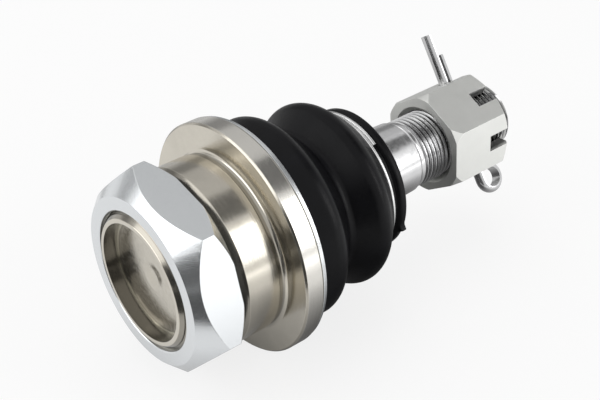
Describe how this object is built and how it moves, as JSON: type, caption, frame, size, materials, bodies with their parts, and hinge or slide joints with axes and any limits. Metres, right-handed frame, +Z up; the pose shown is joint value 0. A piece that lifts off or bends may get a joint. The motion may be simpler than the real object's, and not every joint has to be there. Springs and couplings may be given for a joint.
{
  "type": "suspension ball joint",
  "caption": "Suspension ball joint on its side: flanged housing with a clamp nut, bellows boot, tapered threaded stud, castle nut and cotter pin.",
  "frame": {"origin": "centre of the ball, on the axis of the housing's barrel", "axes": "+X along the stud axis from the clamp nut to the castle nut, +Z up with the part lying on its side"},
  "size_m": [0.1238, 0.064, 0.064],
  "materials": {
    "housing": "warm nickel plated, turned",
    "clamp_nut": "bright zinc plated",
    "cover_plate": "warm nickel plated",
    "cover_seal": "matt black rubber",
    "preload_spring": "blued spring steel",
    "thrust_washer": "plain steel",
    "lower_bearing_seat": "off-white bearing plastic",
    "upper_bearing_seat": "off-white bearing plastic",
    "ball_stud": "machined steel",
    "boot_support_ring": "zinc plated sheet",
    "boot_retaining_ring": "zinc plated sheet",
    "boot": "satin black rubber",
    "boot_wire_ring": "bright spring wire",
    "boot_neck_bush": "black plastic",
    "castle_nut": "satin zinc plated",
    "cotter_pin": "drawn steel wire"
  },
  "bodies": {
    "housing": {"housing": "housing", "cover_plate": "cover_plate", "cover_seal": "cover_seal", "preload_spring": "preload_spring", "thrust_washer": "thrust_washer", "lower_bearing_seat": "lower_bearing_seat", "upper_bearing_seat": "upper_bearing_seat", "boot_support_ring": "boot_support_ring", "boot_retaining_ring": "boot_retaining_ring"},
    "clamp_nut": {"clamp_nut": "clamp_nut"},
    "boot": {"boot": "boot"},
    "boot_collar": {"boot_wire_ring": "boot_wire_ring", "boot_neck_bush": "boot_neck_bush"},
    "stud": {"ball_stud": "ball_stud", "castle_nut": "castle_nut", "cotter_pin": "cotter_pin"}
  },
  "joints": [
    {"name": "clamp_nut_off", "type": "slide", "parent": "housing", "child": "clamp_nut", "axis": [-1, 0, 0], "range_m": [0, 0.045]},
    {"name": "swing_up_down", "type": "hinge", "parent": "housing", "child": "boot", "pos_m": [0, 0, 0], "axis": [0, 1, 0], "range_deg": [-16, 16], "deforming": ["boot"]},
    {"name": "swing_side", "type": "hinge", "parent": "boot", "child": "boot_collar", "pos_m": [0, 0, 0], "axis": [0, 0, 1], "range_deg": [-16, 16]},
    {"name": "stud_spin", "type": "hinge", "parent": "boot_collar", "child": "stud", "pos_m": [0, 0, 0], "axis": [1, 0, 0], "continuous": true}
  ]
}
